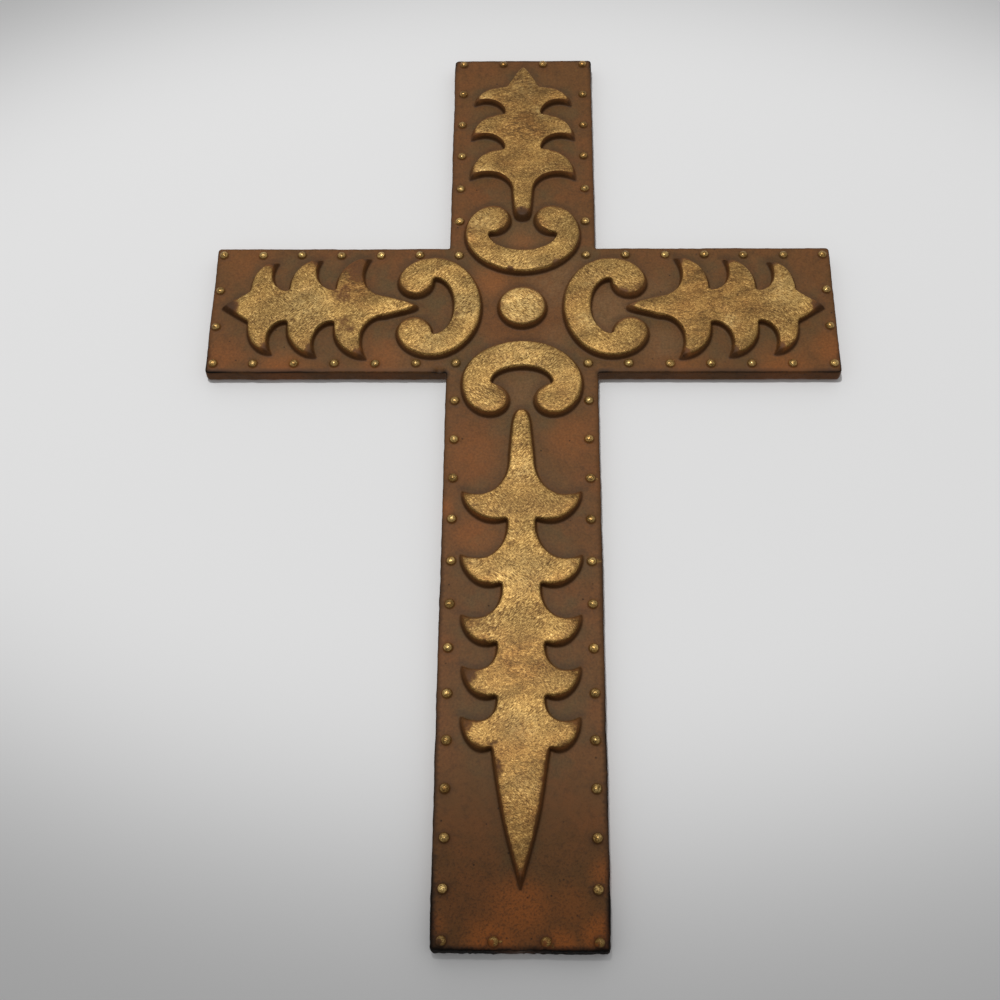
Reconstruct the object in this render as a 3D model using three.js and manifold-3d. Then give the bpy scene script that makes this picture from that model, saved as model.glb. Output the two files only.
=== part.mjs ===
// A cast iron wall cross: a flat Latin cross cast in one piece with raised leaf sprays, four C-shaped
// scrolls, a round boss and a border of nail-head studs. It hangs on a nail in a blind socket in its back.
// Millimetres, +Z up. The origin is on the back face, at the centre of the crossing; the front faces -Y.
import * as THREE from "three";
import { mergeVertices } from "three/addons/utils/BufferGeometryUtils.js";
import Module from "manifold-3d";

const wasm = await Module();
wasm.setup();

// Plate
const INCH = 25.4;
const HEIGHT = 16 * INCH;
const SPAN = 10.5 * INCH;
const LIMB = 2.5 * INCH; // width of the upright, and of the crossbar
const HEAD = 4.25 * INCH; // length of the upright above the crossbar
const PLATE = 6.5; // thickness
const CORNER_RADIUS = 1.6; // outer corners, seen from the front
const CORNER_STEPS = 3;
const EDGE_EASE = 0.7; // small chamfer along the front and back edges

// Relief
const RELIEF = 3.5; // height above the plate
const SHOULDER = 1.5; // breadth of the rounded wall, from the foot to the flat top
const WALL_STEPS = [0, 0.3, 1]; // shares of SHOULDER where the wall has a ring of points
const CURVE_STEPS = 6; // straight pieces in each curve of an outline
const ROOT = 0.6; // how far the relief runs down into the plate, so that the two fuse
const THINNEST = 0.85; // share of the local half-width that the shoulder may take
const TOUCHING = 1e-4; // points closer than this are one point

// Directions from the centre of the crossing, in plan
const EAST = 0;
const NORTH = Math.PI / 2;
const WEST = Math.PI;
const SOUTH = -Math.PI / 2;

// Boss, at the centre of the crossing
const BOSS_RADIUS = 10.7;
const BOSS_STEPS = 36;

// Scrolls: a runs outwards from the centre of the crossing, l sideways.
const SCROLL = {
  eyeA: 38, // middle of the hollow, and of the two ellipses that bound the arch
  archOut: { a: 21, l: 25.6 },
  bulb: { a: 45.9, l: 12.8, ra: 7.9, rl: 8 }, // the rounded end that curls into the hollow
};
// The arches were cut by hand in the pattern, so each scroll's hollow has its own size.
const SCROLL_HOLLOWS = [
  { angle: EAST, a: 8.4, l: 13.8 },
  { angle: NORTH, a: 8.3, l: 14.6 },
  { angle: WEST, a: 8.4, l: 14 },
  { angle: SOUTH, a: 7.2, l: 12.6 },
];

// The curves of stems and leaves, as shares of their own length and height
const NECK_AT = 0.2; // how far along the stem it is as narrow as its neck
const INNER_DIP = 0.04; // how far a leaf's inner edge sags before it climbs
const INNER_CLIMB = 0.53; // how far below the tip it turns outwards
const OUTER_REACH = 0.52; // how far the outer edge runs out level with the tip
const OUTER_LIFT = 0.08; // how far it rises above the tip on the way
const OUTER_FALL = 0.6; // how far above the notch it turns back in

// Leaf sprays: each leaf is [tip a, tip l, notch a, notch l], where the notch is the corner beyond the leaf.
const ARM_SPRAY = {
  stemTip: 44.3,
  stemRoot: [58.5, 5.6],
  stemNeck: 2.1, // half-width of the stem just behind its rounded tip
  leaves: [
    [65.2, 25.8, 80.1, 8.4],
    [86.2, 25.0, 100.1, 8.0],
    [105.2, 23.6, 117.0, 8.0],
  ],
  end: 129.2,
  endBelly: 0.3, // how far the pointed end swells past a straight line
  hollow: [0.36, 0.33], // how deep the leaf's inner edge is cut: near the notch, near the tip
  belly: 0.13, // how far the leaf's outer edge swells past its notch
};
const HEAD_SPRAY = {
  ...ARM_SPRAY,
  stemTip: 45.7,
  stemRoot: [61, 5],
  stemNeck: 4.1,
  leaves: [
    [68.3, 23.8, 84.6, 8.5],
    [90.8, 23.4, 105.0, 8.4],
    [111.1, 22.3, 121.5, 7.5],
  ],
  end: 135,
  endBelly: 1.6,
};
const FOOT_SPRAY = {
  stemTip: 49.8,
  stemRoot: [72, 5.5],
  stemNeck: 4,
  leaves: [
    [87.5, 24.1, 101.0, 5.8],
    [115.3, 24.1, 128.7, 7.7],
    [140.6, 23.4, 153.2, 9.4],
    [161.8, 22.8, 174.4, 9.3],
    [181.6, 22.6, 194.6, 10.9],
  ],
  end: 246.3,
  endBelly: 2.8,
  hollow: [0.7, 0.36],
  belly: 0.36,
};

// Studs: small domes along every edge, one at each corner and evenly spaced between.
const STUD_RADIUS = 1.9;
const STUD_HEIGHT = 1.7;
const STUD_SIDES = 8;
const STUD_SHOULDER = { radius: 0.75, height: 0.72 }; // shares of the stud's own, where the dome bends over
const STUD_INSET = 4.1; // from the long edges
const STUD_END_INSET = 3.1; // from the ends of the four limbs
const STUD_GAPS = { limbEnd: 3, head: 6, arm: 6, foot: 13 };

// Hanging socket, sunk in the back of the head, behind the leaf spray
const SOCKET = { width: 9, straight: 9.5, depth: 4.8, bottom: 103 };
const SOCKET_STEPS = 10;

// Plan positions that follow from the sizes above. Plan y is the part's Z; plan z is height above the back.
const HALF = LIMB / 2;
const ARM_END = SPAN / 2;
const TOP = HALF + HEAD;
const BOTTOM = TOP - HEIGHT;

// Solids

function solidOf(geometry) {
  const bare = geometry.clone();
  bare.deleteAttribute("normal");
  bare.deleteAttribute("uv");
  const merged = mergeVertices(bare, TOUCHING);
  const triVerts = [];
  const index = merged.index.array;
  for (let i = 0; i < index.length; i += 3) {
    const [a, b, c] = [index[i], index[i + 1], index[i + 2]];
    if (a !== b && b !== c && c !== a) triVerts.push(a, b, c);
  }
  return new wasm.Manifold(
    new wasm.Mesh({
      numProp: 3,
      vertProperties: merged.attributes.position.array,
      triVerts: new Uint32Array(triVerts),
    }),
  );
}

function geometryOf(solid) {
  const mesh = solid.getMesh();
  const geometry = new THREE.BufferGeometry();
  geometry.setAttribute("position", new THREE.BufferAttribute(mesh.vertProperties, 3));
  geometry.setIndex(new THREE.BufferAttribute(mesh.triVerts, 1));
  return geometry;
}

// Plate

function crossShape() {
  const corners = [
    [HALF, HALF],
    [HALF, TOP],
    [-HALF, TOP],
    [-HALF, HALF],
    [-ARM_END, HALF],
    [-ARM_END, -HALF],
    [-HALF, -HALF],
    [-HALF, BOTTOM],
    [HALF, BOTTOM],
    [HALF, -HALF],
    [ARM_END, -HALF],
    [ARM_END, HALF],
  ].map(([x, y]) => new THREE.Vector2(x, y));
  const shape = new THREE.Shape();
  corners.forEach((corner, i) => {
    const before = corners.at(i - 1).clone().sub(corner).normalize();
    const after = corners[(i + 1) % corners.length].clone().sub(corner).normalize();
    const outward = before.cross(after) < 0;
    const radius = outward ? CORNER_RADIUS : 0;
    const start = corner.clone().addScaledVector(before, radius);
    const finish = corner.clone().addScaledVector(after, radius);
    if (i === 0) shape.moveTo(start.x, start.y);
    else shape.lineTo(start.x, start.y);
    if (outward) shape.quadraticCurveTo(corner.x, corner.y, finish.x, finish.y);
  });
  shape.closePath();
  return shape;
}

function plate() {
  const geometry = new THREE.ExtrudeGeometry(crossShape(), {
    depth: PLATE - 2 * EDGE_EASE,
    curveSegments: CORNER_STEPS,
    bevelThickness: EDGE_EASE,
    bevelSize: EDGE_EASE,
    bevelOffset: -EDGE_EASE,
    bevelSegments: 1,
  });
  geometry.translate(0, 0, EDGE_EASE);
  return solidOf(geometry);
}

// Relief

// The rounded wall: steep at the foot, level at the top.
const wallHeight = (share) => RELIEF * Math.sqrt(1 - (1 - Math.min(share, 1)) ** 2);

// Unit vectors pointing into the outline, one at each point. The outline runs anticlockwise.
function inwardNormals(outline) {
  return outline.map((point, i) => {
    const before = outline.at(i - 1);
    const after = outline[(i + 1) % outline.length];
    const first = point.clone().sub(before).normalize();
    const second = after.clone().sub(point).normalize();
    const along = first.add(second);
    return new THREE.Vector2(-along.y, along.x).normalize();
  });
}

// How wide the shoulder can be at each point: less where the outline narrows to a tip.
function shoulderWidths(outline, normals) {
  return outline.map((point, i) => {
    let radius = SHOULDER / THINNEST;
    for (const other of outline) {
      const away = other.clone().sub(point);
      const ahead = away.dot(normals[i]);
      if (ahead > TOUCHING) radius = Math.min(radius, away.lengthSq() / (2 * ahead));
    }
    return radius * THINNEST;
  });
}

// A raised motif: rings of points climb the rounded wall from the outline, and a cap closes the top.
function raised(outline) {
  const normals = inwardNormals(outline);
  const widths = shoulderWidths(outline, normals);
  const count = outline.length;
  const positions = [];
  outline.forEach((p) => positions.push(p.x, p.y, PLATE - ROOT));
  for (const share of WALL_STEPS) {
    outline.forEach((p, i) => {
      const inset = share * widths[i];
      const at = p.clone().addScaledVector(normals[i], inset);
      positions.push(at.x, at.y, PLATE + wallHeight(inset / SHOULDER));
    });
  }
  const rings = positions.length / 3 / count;
  const index = [];
  for (let ring = 0; ring + 1 < rings; ring++) {
    for (let i = 0; i < count; i++) {
      const a = ring * count + i;
      const b = ring * count + ((i + 1) % count);
      index.push(a, b, a + count, b, b + count, a + count);
    }
  }
  const top = (rings - 1) * count;
  const topOutline = outline.map((_, i) => new THREE.Vector2().fromArray(positions, 3 * (top + i)));
  for (const [a, b, c] of THREE.ShapeUtils.triangulateShape(topOutline, [])) {
    index.push(top + a, top + b, top + c);
  }
  for (const [a, b, c] of THREE.ShapeUtils.triangulateShape(outline, [])) {
    index.push(c, b, a);
  }
  const geometry = new THREE.BufferGeometry();
  geometry.setAttribute("position", new THREE.Float32BufferAttribute(positions, 3));
  geometry.setIndex(index);
  return solidOf(geometry);
}

// A closed outline from its half with l above 0, mirrored in the motif's own axis and turned to face angle.
function mirroredOutline(half, angle) {
  const other = half.map((p) => new THREE.Vector2(p.x, -p.y)).reverse();
  const all = [...other, ...half].filter((p, i, list) => p.distanceTo(list.at(i - 1)) > TOUCHING);
  all.forEach((p) => p.rotateAround(new THREE.Vector2(), angle));
  return THREE.ShapeUtils.isClockWise(all) ? all.reverse() : all;
}

function sprayOutline(spray, angle) {
  const path = new THREE.Path();
  const [rootA, rootL] = spray.stemRoot;
  path.moveTo(spray.stemTip, 0);
  const neckA = spray.stemTip + NECK_AT * (rootA - spray.stemTip);
  path.bezierCurveTo(spray.stemTip, spray.stemNeck, neckA, spray.stemNeck, rootA, rootL);
  let [notchA, notchL] = spray.stemRoot;
  for (const [tipA, tipL, nextA, nextL] of spray.leaves) {
    const rise = tipL - notchL;
    const [nearNotch, nearTip] = spray.hollow;
    path.bezierCurveTo(
      notchA + nearNotch * rise, notchL - INNER_DIP * rise,
      tipA + nearTip * rise, tipL - INNER_CLIMB * rise,
      tipA, tipL,
    );
    const reach = nextA - tipA;
    const fall = tipL - nextL;
    path.bezierCurveTo(
      tipA + OUTER_REACH * reach, tipL + OUTER_LIFT * fall,
      nextA + spray.belly * reach, nextL + OUTER_FALL * fall,
      nextA, nextL,
    );
    [notchA, notchL] = [nextA, nextL];
  }
  const middle = (notchA + spray.end) / 2;
  path.quadraticCurveTo(middle, notchL / 2 + spray.endBelly, spray.end, 0);
  return mirroredOutline(path.getPoints(CURVE_STEPS), angle);
}

function scrollOutline(hollow) {
  const { eyeA, archOut, bulb } = SCROLL;
  const path = new THREE.Path();
  path.absellipse(eyeA, 0, archOut.a, archOut.l, Math.PI, Math.PI / 2, true);
  path.absellipse(eyeA, bulb.l, bulb.a + bulb.ra - eyeA, archOut.l - bulb.l, Math.PI / 2, 0, true);
  path.absellipse(bulb.a, bulb.l, bulb.ra, bulb.rl, 0, -Math.PI, true);
  path.absellipse(eyeA, 0, hollow.a, hollow.l, Math.PI / 2, Math.PI, false);
  return mirroredOutline(path.getPoints(CURVE_STEPS), hollow.angle);
}

function bossOutline() {
  const circle = new THREE.Path().absarc(0, 0, BOSS_RADIUS, 0, 2 * Math.PI);
  return circle.getSpacedPoints(BOSS_STEPS).slice(0, -1);
}

function ornaments() {
  return [
    bossOutline(),
    ...SCROLL_HOLLOWS.map(scrollOutline),
    sprayOutline(ARM_SPRAY, EAST),
    sprayOutline(HEAD_SPRAY, NORTH),
    sprayOutline(ARM_SPRAY, WEST),
    sprayOutline(FOOT_SPRAY, SOUTH),
  ].map(raised);
}

// Studs

// Points from one corner stud to the next, the last left out.
function studRow([x0, y0], [x1, y1], gaps) {
  const stepX = (x1 - x0) / gaps;
  const stepY = (y1 - y0) / gaps;
  return Array.from({ length: gaps }, (_, i) => [x0 + stepX * i, y0 + stepY * i]);
}

function studCentres() {
  const side = HALF - STUD_INSET;
  const armEnd = ARM_END - STUD_END_INSET;
  const top = TOP - STUD_END_INSET;
  const bottom = BOTTOM + STUD_END_INSET;
  const { limbEnd, head, arm, foot } = STUD_GAPS;
  const right = [
    ...studRow([side, top], [side, side], head),
    ...studRow([side, side], [armEnd, side], arm),
    ...studRow([armEnd, side], [armEnd, -side], limbEnd),
    ...studRow([armEnd, -side], [side, -side], arm),
    ...studRow([side, -side], [side, bottom], foot),
    [side, bottom],
  ];
  const left = right.map(([x, y]) => [-x, y]);
  const ends = [top, bottom].flatMap((y) => studRow([-side, y], [side, y], limbEnd).slice(1));
  return [...right, ...left, ...ends];
}

function stud([x, y]) {
  const profile = [
    [0, -ROOT],
    [STUD_RADIUS, -ROOT],
    [STUD_RADIUS, 0],
    [STUD_SHOULDER.radius * STUD_RADIUS, STUD_SHOULDER.height * STUD_HEIGHT],
    [0, STUD_HEIGHT],
  ].map(([r, h]) => new THREE.Vector2(r, h));
  const geometry = new THREE.LatheGeometry(profile, STUD_SIDES);
  geometry.rotateX(Math.PI / 2);
  geometry.translate(x, y, PLATE);
  return solidOf(geometry);
}

// Hanging socket: straight sides and a round top that rests on the nail

function socket() {
  const radius = SOCKET.width / 2;
  const spring = SOCKET.bottom + SOCKET.straight; // where the round top begins
  const shape = new THREE.Shape();
  shape.moveTo(-radius, SOCKET.bottom);
  shape.lineTo(radius, SOCKET.bottom);
  shape.absarc(0, spring, radius, 0, Math.PI);
  shape.closePath();
  const geometry = new THREE.ExtrudeGeometry(shape, {
    depth: SOCKET.depth + ROOT,
    curveSegments: SOCKET_STEPS,
    bevelEnabled: false,
  });
  geometry.translate(0, 0, -ROOT);
  return solidOf(geometry);
}

// The casting

const casting = [...ornaments(), ...studCentres().map(stud)]
  .reduce((whole, piece) => whole.add(piece), plate())
  .subtract(socket());

const bronzedIron = new THREE.MeshStandardMaterial({
  color: 0x6b452b,
  roughness: 0.5,
  metalness: 0.35,
  flatShading: true,
});

const wallCross = new THREE.Mesh(geometryOf(casting), bronzedIron);
wallCross.name = "wall_cross";
wallCross.rotation.x = Math.PI / 2; // the plan stands up, with its relief towards -Y

const part = new THREE.Group();
part.add(wallCross);

export default part;
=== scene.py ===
"""A cast iron wall cross, bronzed brown with gilt relief, hung on a pale wall."""
import math

import bpy
import numpy as np
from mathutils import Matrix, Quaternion, Vector, noise
from mathutils.geometry import delaunay_2d_cdt
from mathutils.kdtree import KDTree


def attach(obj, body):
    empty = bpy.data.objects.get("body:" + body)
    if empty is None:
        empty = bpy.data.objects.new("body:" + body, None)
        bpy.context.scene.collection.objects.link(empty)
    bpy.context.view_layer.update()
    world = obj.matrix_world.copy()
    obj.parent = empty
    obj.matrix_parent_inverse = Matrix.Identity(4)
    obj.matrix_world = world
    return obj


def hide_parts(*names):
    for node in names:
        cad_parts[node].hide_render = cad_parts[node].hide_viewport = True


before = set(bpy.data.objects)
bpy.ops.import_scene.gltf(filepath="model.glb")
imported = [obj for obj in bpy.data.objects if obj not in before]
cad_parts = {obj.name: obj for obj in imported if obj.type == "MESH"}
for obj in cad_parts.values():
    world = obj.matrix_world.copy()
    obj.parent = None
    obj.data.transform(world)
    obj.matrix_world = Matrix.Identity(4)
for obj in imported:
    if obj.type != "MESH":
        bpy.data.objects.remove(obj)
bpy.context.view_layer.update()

# Plate: the flat Latin cross that carries everything, sand-cast in grey iron in one piece with its relief.
# The mould left its corners and edges softly rounded and a little uneven, roughest along the foot.
# Plan points are (x, z) in millimetres; heights are millimetres in front of the flat back.
MM = 0.001
INCH = 25.4
HALF_LIMB = 2.5 * INCH / 2
ARM_END = 10.5 * INCH / 2
TOP = HALF_LIMB + 4.25 * INCH
BOTTOM = TOP - 16 * INCH
PLATE = 6.5
OUTER_CORNER = 1.6
INNER_CORNER = 0.9
CORNER_POINTS = 5
EDGE_STEP = 0.9
EDGE_ROUND = 0.9
EDGE_INSETS = (0, 0.1, 0.32, 0.62)


def plate_outline():
    """Points round the cross, anticlockwise from the front, and the outward direction at each."""
    corners = [
        (HALF_LIMB, HALF_LIMB), (HALF_LIMB, TOP), (-HALF_LIMB, TOP), (-HALF_LIMB, HALF_LIMB),
        (-ARM_END, HALF_LIMB), (-ARM_END, -HALF_LIMB), (-HALF_LIMB, -HALF_LIMB), (-HALF_LIMB, BOTTOM),
        (HALF_LIMB, BOTTOM), (HALF_LIMB, -HALF_LIMB), (ARM_END, -HALF_LIMB), (ARM_END, HALF_LIMB),
    ]
    corners = np.array(corners)
    points, outward = [], []
    for i, corner in enumerate(corners):
        before = corners[i - 1] - corner
        after = corners[(i + 1) % len(corners)] - corner
        before /= np.linalg.norm(before)
        run = np.linalg.norm(after)
        after /= run
        convex = before[0] * after[1] - before[1] * after[0] < 0
        radius = OUTER_CORNER if convex else INNER_CORNER
        side = 1 if convex else -1
        centre = corner + radius * (before + after)
        for turn in np.linspace(0, math.pi / 2, CORNER_POINTS):
            spoke = -(math.cos(turn) * after + math.sin(turn) * before)
            points.append(centre + radius * spoke)
            outward.append(side * spoke)
        following = corners[(i + 2) % len(corners)] - corners[(i + 1) % len(corners)]
        next_convex = after[0] * following[1] - after[1] * following[0] > 0
        finish = run - (OUTER_CORNER if next_convex else INNER_CORNER)
        count = round((finish - radius) / EDGE_STEP)
        for along in np.linspace(radius, finish, count + 1)[1:-1]:
            points.append(corner + along * after)
            outward.append(-before if convex else before)
    outward = np.array(outward)
    return np.array(points), outward / np.linalg.norm(outward, axis=1, keepdims=True)


def edge_drop(inset):
    """How far the rounded front edge has fallen at an inset from the outline."""
    reach = np.clip(1 - np.asarray(inset) / EDGE_ROUND, 0, 1)
    return EDGE_ROUND * (1 - np.sqrt(1 - reach ** 2))


# Raised ornament: a boss, four C-shaped scrolls and four leaf sprays, cast standing 3.5 mm off the plate.
# Their walls are filleted at the foot and round over at the shoulder, steep in the hollows and broad on the
# outward bends. In each motif's own plan, a runs outwards from the middle of the crossing and l sideways.
RELIEF = 3.5
CROWN = 0.25
CROWN_REACH = 3
WALL_FOOT = 0.4
WALL_BREADTH = 1.35
WALL_VARIATION = 0.4
BEND_REACH = 2.5
FULL_BEND = 0.35
OUTLINE_STEP = 0.75
OUTLINE_SOFTNESS = 0.6
EAST, NORTH, WEST, SOUTH = 0, math.pi / 2, math.pi, -math.pi / 2

BOSS_RADIUS = 10.7
SCROLL_EYE = 38
SCROLL_ARCH = (21, 25.6)
SCROLL_BULB = (45.9, 12.8)
SCROLL_BULB_RADII = (7.9, 8)
SCROLL_HOLLOWS = {EAST: (8.4, 13.8), NORTH: (8.3, 14.6), WEST: (8.4, 14), SOUTH: (7.2, 12.6)}

# The curves of stems and leaves, as shares of their own length and height.
NECK_AT = 0.2
INNER_DIP = 0.04
INNER_CLIMB = 0.53
OUTER_REACH = 0.52
OUTER_LIFT = 0.08
OUTER_FALL = 0.6

# Each leaf is (tip a, tip l, notch a, notch l); the notch is the corner beyond the leaf.
ARM_SPRAY = {
    "stem_tip": 44.3, "stem_root": (58.5, 5.6), "stem_neck": 2.1,
    "leaves": [(65.2, 25.8, 80.1, 8.4), (86.2, 25.0, 100.1, 8.0), (105.2, 23.6, 117.0, 8.0)],
    "end": 129.2, "end_belly": 0.3, "hollow": (0.36, 0.33), "belly": 0.13,
}
HEAD_SPRAY = {
    **ARM_SPRAY,
    "stem_tip": 45.7, "stem_root": (61, 5), "stem_neck": 4.1,
    "leaves": [(68.3, 23.8, 84.6, 8.5), (90.8, 23.4, 105.0, 8.4), (111.1, 22.3, 121.5, 7.5)],
    "end": 135, "end_belly": 1.6,
}
FOOT_SPRAY = {
    "stem_tip": 49.8, "stem_root": (72, 5.5), "stem_neck": 4,
    "leaves": [
        (87.5, 24.1, 101.0, 5.8), (115.3, 24.1, 128.7, 7.7), (140.6, 23.4, 153.2, 9.4),
        (161.8, 22.8, 174.4, 9.3), (181.6, 22.6, 194.6, 10.9),
    ],
    "end": 246.3, "end_belly": 2.8, "hollow": (0.7, 0.36), "belly": 0.36,
}
SPRAYS = {EAST: ARM_SPRAY, NORTH: HEAD_SPRAY, WEST: ARM_SPRAY, SOUTH: FOOT_SPRAY}
CURVE_POINTS = 60


def curve(start, *controls):
    """Points along a curve of two or three control points, its start left out."""
    stops = np.array([start, *controls], float)
    share = np.linspace(0, 1, CURVE_POINTS)[1:, None]
    while len(stops) > 1:
        stops = [a + share * (b - a) for a, b in zip(stops[:-1], stops[1:])]
    return stops[0]


def oval(centre, radii, start, finish):
    """Points along part of an ellipse, from one angle in degrees to another."""
    turn = np.radians(np.linspace(start, finish, CURVE_POINTS))
    return np.column_stack([centre[0] + radii[0] * np.cos(turn), centre[1] + radii[1] * np.sin(turn)])


def spray_half(spray):
    """One side of a leaf spray, from the tip of its stem to its pointed end."""
    stem_tip, root, neck = spray["stem_tip"], spray["stem_root"], spray["stem_neck"]
    neck_a = stem_tip + NECK_AT * (root[0] - stem_tip)
    runs = [np.array([(stem_tip, 0)]), curve((stem_tip, 0), (stem_tip, neck), (neck_a, neck), root)]
    notch_a, notch_l = root
    near_notch, near_tip = spray["hollow"]
    for tip_a, tip_l, next_a, next_l in spray["leaves"]:
        rise = tip_l - notch_l
        inner_start = (notch_a + near_notch * rise, notch_l - INNER_DIP * rise)
        inner_finish = (tip_a + near_tip * rise, tip_l - INNER_CLIMB * rise)
        runs.append(curve((notch_a, notch_l), inner_start, inner_finish, (tip_a, tip_l)))
        reach, fall = next_a - tip_a, tip_l - next_l
        outer_start = (tip_a + OUTER_REACH * reach, tip_l + OUTER_LIFT * fall)
        outer_finish = (next_a + spray["belly"] * reach, next_l + OUTER_FALL * fall)
        runs.append(curve((tip_a, tip_l), outer_start, outer_finish, (next_a, next_l)))
        notch_a, notch_l = next_a, next_l
    middle = ((notch_a + spray["end"]) / 2, notch_l / 2 + spray["end_belly"])
    runs.append(curve((notch_a, notch_l), middle, (spray["end"], 0)))
    return np.concatenate(runs)


def scroll_half(hollow):
    """One side of a scroll: round the arch, the shoulder and the curled end, and back inside the arch."""
    bulb_a, bulb_l = SCROLL_BULB
    shoulder = (bulb_a + SCROLL_BULB_RADII[0] - SCROLL_EYE, SCROLL_ARCH[1] - bulb_l)
    return np.concatenate([
        oval((SCROLL_EYE, 0), SCROLL_ARCH, 180, 90),
        oval((SCROLL_EYE, bulb_l), shoulder, 90, 0),
        oval(SCROLL_BULB, SCROLL_BULB_RADII, 0, -180),
        oval((SCROLL_EYE, 0), hollow, 90, 180),
    ])


def evenly(points, step):
    """The same closed line with its points a step apart."""
    closed = np.vstack([points, points[:1]])
    walked = np.concatenate([[0], np.cumsum(np.linalg.norm(np.diff(closed, axis=0), axis=1))])
    stations = np.linspace(0, walked[-1], round(walked[-1] / step) + 1)[:-1]
    return np.column_stack([np.interp(stations, walked, closed[:, k]) for k in (0, 1)])


def softened(points):
    """The outline with its tips and notches rounded, as the moulding sand leaves them."""
    fine_step = 0.1
    fine = evenly(points, fine_step)
    waves = np.fft.fftfreq(len(fine), fine_step)
    fade = np.exp(-2 * (math.pi * OUTLINE_SOFTNESS * waves) ** 2)[:, None]
    return evenly(np.fft.ifft(np.fft.fft(fine, axis=0) * fade, axis=0).real, OUTLINE_STEP)


def turned(points, angle):
    """Points of a motif's own plan, turned to run out along angle."""
    across, up = math.cos(angle), math.sin(angle)
    return np.asarray(points) @ np.array([[across, up], [-up, across]])


def motif(half, angle):
    """A whole outline, anticlockwise, from its half with l above 0, turned to run out along angle."""
    whole = np.vstack([half * (1, -1), half[::-1]])
    smooth = softened(turned(whole, angle))
    ahead = np.roll(smooth, -1, axis=0)
    area = np.sum(smooth[:, 0] * ahead[:, 1] - smooth[:, 1] * ahead[:, 0])
    return smooth if area > 0 else smooth[::-1]


motifs = [
    motif(oval((0, 0), (BOSS_RADIUS, BOSS_RADIUS), 0, 180), EAST),
    *[motif(scroll_half(hollow), angle) for angle, hollow in SCROLL_HOLLOWS.items()],
    *[motif(spray_half(spray), angle) for angle, spray in SPRAYS.items()],
]
leaf_tips = {angle: turned([(a, side * l) for a, l, _, _ in spray["leaves"] for side in (1, -1)], angle)
             for angle, spray in SPRAYS.items()}


def wall_breadths(outline):
    """How broad the wall is along an outline: broad on its outward bends and narrow in its hollows."""
    steps = round(BEND_REACH / OUTLINE_STEP)
    arriving = outline - np.roll(outline, steps, axis=0)
    leaving = np.roll(outline, -steps, axis=0) - outline
    across = arriving[:, 0] * leaving[:, 1] - arriving[:, 1] * leaving[:, 0]
    turn = np.arctan2(across, np.sum(arriving * leaving, axis=1))
    bend = np.clip(turn / FULL_BEND, -1, 1)
    even = np.mean([np.roll(bend, shift) for shift in range(-steps, steps + 1)], axis=0)
    return WALL_BREADTH * (1 + WALL_VARIATION * even)


def relief_height(inside, breadth):
    """Height of the relief above the plate at a distance inside its outline, below 0 outside."""
    climb = np.clip((inside + WALL_FOOT) / (breadth + WALL_FOOT), 0, 1)
    wall = (RELIEF - CROWN) * climb ** 2 * (3 - 2 * climb)
    return wall + CROWN * (1 - np.exp(-np.maximum(inside - breadth, 0) / CROWN_REACH))


# Studs: small domes cast along every edge, one at each corner and evenly spaced between, like nail heads.
# They were pressed into the pattern by hand, so no two stand quite alike.
STUD_RADIUS = 2
STUD_HEIGHTS = (1.6, 1.95)
STUD_SHIFT = 0.15
STUD_DULLING = 0.3
STUD_SEED = 7
STUD_INSET = 4.1
STUD_END_INSET = 3.1
STUD_SIDES = 16
STUD_RINGS = (0.65, 1.2, 1.62, 1.9, 2.1, 2.4)
STUD_ROOM = 0.45
SKIRT_HEIGHT = 0.22
SKIRT_RADIUS = 2.5
SKIRT_BREADTH = 0.6
STUD_GAPS = {"limb_end": 3, "head": 6, "arm": 6, "foot": 13}


def stud_row(start, finish, gaps):
    """Points from one corner stud to the next, the last left out."""
    return [tuple(np.array(start) + (np.array(finish) - start) * i / gaps) for i in range(gaps)]


def stud_centres():
    """Where the studs stand, in plan."""
    side = HALF_LIMB - STUD_INSET
    arm_end = ARM_END - STUD_END_INSET
    top, bottom = TOP - STUD_END_INSET, BOTTOM + STUD_END_INSET
    right = [
        *stud_row((side, top), (side, side), STUD_GAPS["head"]),
        *stud_row((side, side), (arm_end, side), STUD_GAPS["arm"]),
        *stud_row((arm_end, side), (arm_end, -side), STUD_GAPS["limb_end"]),
        *stud_row((arm_end, -side), (side, -side), STUD_GAPS["arm"]),
        *stud_row((side, -side), (side, bottom), STUD_GAPS["foot"]),
        (side, bottom),
    ]
    left = [(-x, z) for x, z in right]
    ends = [stud_row((-side, z), (side, z), STUD_GAPS["limb_end"])[1:] for z in (top, bottom)]
    return np.array(right + left + ends[0] + ends[1])


def stud_profile(radius, height):
    """Height of a stud above the plate at a radius: a dome with a small fillet round its foot."""
    dome = height * np.sqrt(np.clip(1 - (radius / STUD_RADIUS) ** 2, 0, 1))
    skirt = SKIRT_HEIGHT * np.clip((SKIRT_RADIUS - radius) / SKIRT_BREADTH, 0, 1) ** 2
    return np.maximum(dome, skirt)


by_hand = np.random.default_rng(STUD_SEED)
studs = stud_centres()
studs += by_hand.uniform(-STUD_SHIFT, STUD_SHIFT, studs.shape)
stud_heights = by_hand.uniform(*STUD_HEIGHTS, len(studs))
stud_dulling = by_hand.uniform(0, STUD_DULLING, len(studs))

# Hanging socket: a blind, round-topped pocket cast in the back of the head. The head of a nail or a screw in
# the wall goes in below, and the round top comes to rest on it.
SOCKET_WIDTH = 9
SOCKET_BOTTOM = 103
SOCKET_STRAIGHT = 9.5
SOCKET_DEPTH = 4.8
SOCKET_STEP = 0.8


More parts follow.
